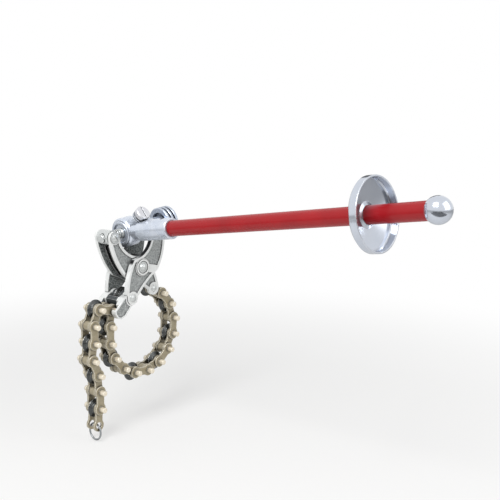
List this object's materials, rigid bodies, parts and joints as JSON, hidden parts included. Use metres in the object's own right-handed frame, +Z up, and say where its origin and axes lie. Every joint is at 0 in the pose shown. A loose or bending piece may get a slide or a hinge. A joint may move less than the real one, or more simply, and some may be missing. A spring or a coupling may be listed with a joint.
{
  "type": "soil pipe cutter",
  "caption": "Ratchet chain cutter for cast iron soil pipe: crossed jaws, a feed screw with a long ratchet handle and a chain of cutting wheels hung on a hook.",
  "frame": {"origin": "centre of the gripped pipe's axis in the middle plane of the chain", "axes": "+X along the pipe towards the handle, +Y to the back of the tool, +Z up"},
  "size_m": [0.5929, 0.1967, 0.4332],
  "materials": {
    "jaw_casting": "grey cast steel with bright worn rims",
    "bright_steel": "plated steel, bluish silver",
    "fasteners": "turned steel",
    "handle_red": "gloss red paint",
    "guard_chrome": "bright plated",
    "chain_steel": "warm nickel-coloured steel",
    "wheel_steel": "hardened steel"
  },
  "bodies": {
    "outer_jaw": {"outer_jaw_near_plate": "jaw_casting", "outer_jaw_far_plate": "jaw_casting", "jaw_pivot_pin": "fasteners", "jaw_pivot_washers": "fasteners", "hook_pin": "fasteners", "rear_trunnion_screws": "fasteners"},
    "inner_jaw": {"inner_jaw": "jaw_casting", "chain_anchor_pin": "fasteners", "front_trunnion_screws": "fasteners"},
    "rear_trunnion": {"rear_trunnion": "bright_steel"},
    "front_nut": {"front_trunnion_nut": "bright_steel"},
    "feed_screw": {"feed_screw": "bright_steel", "thrust_collar": "bright_steel", "thrust_collar_pin": "fasteners", "ratchet_gear": "bright_steel"},
    "handle": {"ratchet_housing": "bright_steel", "ratchet_cover": "bright_steel", "handle_tube": "handle_red", "handle_set_screw": "fasteners", "hand_guard": "guard_chrome", "handle_ball": "guard_chrome"},
    "pawl_turn": {"pawl_spring": "fasteners"},
    "pawl": {"ratchet_pawl": "bright_steel", "pawl_knob": "bright_steel"},
    "hook": {"chain_hook": "jaw_casting"},
    "link_01": {"chain_link_01": "chain_steel"},
    "link_02": {"chain_link_02": "chain_steel"},
    "link_03": {"chain_link_03": "chain_steel"},
    "link_04": {"chain_link_04": "chain_steel"},
    "link_05": {"chain_link_05": "chain_steel"},
    "link_06": {"chain_link_06": "chain_steel"},
    "link_07": {"chain_link_07": "chain_steel"},
    "link_08": {"chain_link_08": "chain_steel"},
    "link_09": {"chain_link_09": "chain_steel"},
    "link_10": {"chain_link_10": "chain_steel"},
    "link_11": {"chain_link_11": "chain_steel"},
    "link_12": {"chain_link_12": "chain_steel"},
    "link_13": {"chain_link_13": "chain_steel"},
    "link_14": {"chain_link_14": "chain_steel"},
    "link_15": {"chain_link_15": "chain_steel"},
    "link_16": {"chain_link_16": "chain_steel"},
    "link_17": {"chain_link_17": "chain_steel"},
    "link_18": {"chain_link_18": "chain_steel"},
    "link_19": {"chain_link_19": "chain_steel"},
    "link_20": {"chain_link_20": "chain_steel"},
    "link_21": {"chain_link_21": "chain_steel"},
    "wheel_01": {"cutter_wheel_01": "wheel_steel"},
    "wheel_02": {"cutter_wheel_02": "wheel_steel"},
    "wheel_03": {"cutter_wheel_03": "wheel_steel"},
    "wheel_04": {"cutter_wheel_04": "wheel_steel"},
    "wheel_05": {"cutter_wheel_05": "wheel_steel"},
    "wheel_06": {"cutter_wheel_06": "wheel_steel"},
    "wheel_07": {"cutter_wheel_07": "wheel_steel"},
    "wheel_08": {"cutter_wheel_08": "wheel_steel"},
    "wheel_09": {"cutter_wheel_09": "wheel_steel"},
    "wheel_10": {"cutter_wheel_10": "wheel_steel"},
    "wheel_11": {"cutter_wheel_11": "wheel_steel"},
    "wheel_hook": {"cutter_wheel_hook": "wheel_steel"},
    "end_ring": {"chain_end_ring": "fasteners"}
  },
  "joints": [
    {"name": "jaw_pivot", "type": "hinge", "parent": "outer_jaw", "child": "inner_jaw", "pos_m": [0, -0.01352, 0.10705], "axis": [1, 0, 0], "range_deg": [-10, 6]},
    {"name": "rear_trunnion_turn", "type": "hinge", "parent": "outer_jaw", "child": "rear_trunnion", "pos_m": [0, 0.0201, 0.16724], "axis": [1, 0, 0], "range_deg": [-12, 12]},
    {"name": "front_nut_turn", "type": "hinge", "parent": "inner_jaw", "child": "front_nut", "pos_m": [0, -0.06106, 0.15699], "axis": [1, 0, 0], "range_deg": [-12, 12]},
    {"name": "feed_screw_turn", "type": "hinge", "parent": "rear_trunnion", "child": "feed_screw", "pos_m": [0, -0.02048, 0.16211], "axis": [0, -0.9921, -0.1253], "range_deg": [-424, 703]},
    {"name": "handle_swing", "type": "hinge", "parent": "rear_trunnion", "child": "handle", "pos_m": [0, -0.02048, 0.16211], "axis": [0, -0.9921, -0.1253], "range_deg": [-15, 150]},
    {"name": "pawl_reverse", "type": "hinge", "parent": "handle", "child": "pawl_turn", "pos_m": [0.02364, -0.02279, 0.18044], "axis": [0.788, -0.0772, 0.6108], "range_deg": [0, 180]},
    {"name": "pawl_lift", "type": "slide", "parent": "pawl_turn", "child": "pawl", "axis": [0.788, -0.0772, 0.6108], "range_m": [0, 0.005], "stiffness_N_per_m": 1500, "springref_m": -0.003, "deforming": ["pawl_spring"]},
    {"name": "hook_swing", "type": "hinge", "parent": "outer_jaw", "child": "hook", "pos_m": [0, -0.0348, 0.06028], "axis": [1, 0, 0], "range_deg": [0, 35]},
    {"name": "chain_joint_01", "type": "hinge", "parent": "inner_jaw", "child": "link_01", "pos_m": [0, 0.01872, 0.06704], "axis": [1, 0, 0], "range_deg": [-15, 24]},
    {"name": "chain_joint_02", "type": "hinge", "parent": "link_01", "child": "link_02", "pos_m": [0, 0.04282, 0.05487], "axis": [1, 0, 0], "range_deg": [-7, 5]},
    {"name": "chain_joint_03", "type": "hinge", "parent": "link_02", "child": "link_03", "pos_m": [0, 0.06048, 0.03444], "axis": [1, 0, 0], "range_deg": [-5, 3]},
    {"name": "chain_joint_04", "type": "hinge", "parent": "link_03", "child": "link_04", "pos_m": [0, 0.06904, 0.00883], "axis": [1, 0, 0], "range_deg": [-5, 3]},
    {"name": "chain_joint_05", "type": "hinge", "parent": "link_04", "child": "link_05", "pos_m": [0, 0.0672, -0.01811], "axis": [1, 0, 0], "range_deg": [-4, 6]},
    {"name": "chain_joint_06", "type": "hinge", "parent": "link_05", "child": "link_06", "pos_m": [0, 0.05525, -0.04232], "axis": [1, 0, 0], "range_deg": [-5, 3]},
    {"name": "chain_joint_07", "type": "hinge", "parent": "link_06", "child": "link_07", "pos_m": [0, 0.03499, -0.06017], "axis": [1, 0, 0], "range_deg": [-5, 3]},
    {"name": "chain_joint_08", "type": "hinge", "parent": "link_07", "child": "link_08", "pos_m": [0, 0.00946, -0.06895], "axis": [1, 0, 0], "range_deg": [-7, 11]},
    {"name": "chain_joint_09", "type": "hinge", "parent": "link_08", "child": "link_09", "pos_m": [0, -0.0175, -0.06736], "axis": [1, 0, 0], "range_deg": [-18, 12]},
    {"name": "chain_joint_10", "type": "hinge", "parent": "link_09", "child": "link_10", "pos_m": [0, -0.04182, -0.05564], "axis": [1, 0, 0], "range_deg": [-15, 23]},
    {"name": "chain_joint_11", "type": "hinge", "parent": "link_10", "child": "link_11", "pos_m": [0, -0.05985, -0.03553], "axis": [1, 0, 0], "range_deg": [-23, 14]},
    {"name": "chain_joint_12", "type": "hinge", "parent": "link_11", "child": "link_12", "pos_m": [0, -0.06887, -0.01008], "axis": [1, 0, 0], "range_deg": [-11, 17]},
    {"name": "chain_joint_13", "type": "hinge", "parent": "link_12", "child": "link_13", "pos_m": [0, -0.06752, 0.01688], "axis": [1, 0, 0], "range_deg": [-8, 5]},
    {"name": "chain_joint_14", "type": "hinge", "parent": "link_13", "child": "link_14", "pos_m": [0, -0.06191, 0.04329], "axis": [1, 0, 0], "range_deg": [-35, 2]},
    {"name": "chain_joint_15", "type": "hinge", "parent": "link_14", "child": "link_15", "pos_m": [0, -0.08854, 0.04775], "axis": [1, 0, 0], "range_deg": [-35, 1]},
    {"name": "chain_joint_16", "type": "hinge", "parent": "link_15", "child": "link_16", "pos_m": [0, -0.09952, 0.02309], "axis": [1, 0, 0], "range_deg": [-35, 2]},
    {"name": "chain_joint_17", "type": "hinge", "parent": "link_16", "child": "link_17", "pos_m": [0, -0.09952, -0.00391], "axis": [1, 0, 0], "range_deg": [-35, 2]},
    {"name": "chain_joint_18", "type": "hinge", "parent": "link_17", "child": "link_18", "pos_m": [0, -0.10304, -0.03068], "axis": [1, 0, 0], "range_deg": [-35, 3]},
    {"name": "chain_joint_19", "type": "hinge", "parent": "link_18", "child": "link_19", "pos_m": [0, -0.09293, -0.05572], "axis": [1, 0, 0], "range_deg": [-35, 4]},
    {"name": "chain_joint_20", "type": "hinge", "parent": "link_19", "child": "link_20", "pos_m": [0, -0.09058, -0.08261], "axis": [1, 0, 0], "range_deg": [-35, 6]},
    {"name": "chain_joint_21", "type": "hinge", "parent": "link_20", "child": "link_21", "pos_m": [0, -0.09128, -0.10961], "axis": [1, 0, 0], "range_deg": [-35, 8]},
    {"name": "wheel_spin_01", "type": "hinge", "parent": "link_01", "child": "wheel_01", "pos_m": [0, 0.01872, 0.06704], "axis": [1, 0, 0], "continuous": true},
    {"name": "wheel_spin_02", "type": "hinge", "parent": "link_03", "child": "wheel_02", "pos_m": [0, 0.06048, 0.03444], "axis": [1, 0, 0], "continuous": true},
    {"name": "wheel_spin_03", "type": "hinge", "parent": "link_05", "child": "wheel_03", "pos_m": [0, 0.0672, -0.01811], "axis": [1, 0, 0], "continuous": true},
    {"name": "wheel_spin_04", "type": "hinge", "parent": "link_07", "child": "wheel_04", "pos_m": [0, 0.03499, -0.06017], "axis": [1, 0, 0], "continuous": true},
    {"name": "wheel_spin_05", "type": "hinge", "parent": "link_09", "child": "wheel_05", "pos_m": [0, -0.0175, -0.06736], "axis": [1, 0, 0], "continuous": true},
    {"name": "wheel_spin_06", "type": "hinge", "parent": "link_11", "child": "wheel_06", "pos_m": [0, -0.05985, -0.03553], "axis": [1, 0, 0], "continuous": true},
    {"name": "wheel_spin_07", "type": "hinge", "parent": "link_13", "child": "wheel_07", "pos_m": [0, -0.06752, 0.01688], "axis": [1, 0, 0], "continuous": true},
    {"name": "wheel_spin_08", "type": "hinge", "parent": "link_15", "child": "wheel_08", "pos_m": [0, -0.08854, 0.04775], "axis": [1, 0, 0], "continuous": true},
    {"name": "wheel_spin_09", "type": "hinge", "parent": "link_17", "child": "wheel_09", "pos_m": [0, -0.09952, -0.00391], "axis": [1, 0, 0], "continuous": true},
    {"name": "wheel_spin_10", "type": "hinge", "parent": "link_19", "child": "wheel_10", "pos_m": [0, -0.09293, -0.05572], "axis": [1, 0, 0], "continuous": true},
    {"name": "wheel_spin_11", "type": "hinge", "parent": "link_21", "child": "wheel_11", "pos_m": [0, -0.09128, -0.10961], "axis": [1, 0, 0], "continuous": true},
    {"name": "wheel_spin_hook", "type": "hinge", "parent": "outer_jaw", "child": "wheel_hook", "pos_m": [0, -0.0348, 0.06028], "axis": [1, 0, 0], "continuous": true},
    {"name": "end_ring_swing", "type": "hinge", "parent": "link_21", "child": "end_ring", "pos_m": [0, -0.09317, -0.13654], "axis": [1, 0, 0], "range_deg": [-70, 70]}
  ],
  "couplings": [
    {"joint": "rear_trunnion_turn", "follows": "jaw_pivot", "ratio": 0.5},
    {"joint": "front_nut_turn", "follows": "jaw_pivot", "ratio": -0.5},
    {"joint": "feed_screw_turn", "follows": "jaw_pivot", "ratio": -69.743},
    {"joint": "chain_joint_01", "follows": "jaw_pivot", "ratio": -2.2058},
    {"joint": "chain_joint_02", "follows": "jaw_pivot", "ratio": 0.56582},
    {"joint": "chain_joint_03", "follows": "jaw_pivot", "ratio": 0.31889},
    {"joint": "chain_joint_04", "follows": "jaw_pivot", "ratio": 0.31876},
    {"joint": "chain_joint_05", "follows": "jaw_pivot", "ratio": -0.42118},
    {"joint": "chain_joint_06", "follows": "jaw_pivot", "ratio": 0.31883},
    {"joint": "chain_joint_07", "follows": "jaw_pivot", "ratio": 0.31916},
    {"joint": "chain_joint_08", "follows": "jaw_pivot", "ratio": -0.93718},
    {"joint": "chain_joint_09", "follows": "jaw_pivot", "ratio": 1.6908},
    {"joint": "chain_joint_10", "follows": "jaw_pivot", "ratio": -2.1949},
    {"joint": "chain_joint_11", "follows": "jaw_pivot", "ratio": 2.1466},
    {"joint": "chain_joint_12", "follows": "jaw_pivot", "ratio": -1.5261},
    {"joint": "chain_joint_13", "follows": "jaw_pivot", "ratio": 0.64725}
  ]
}
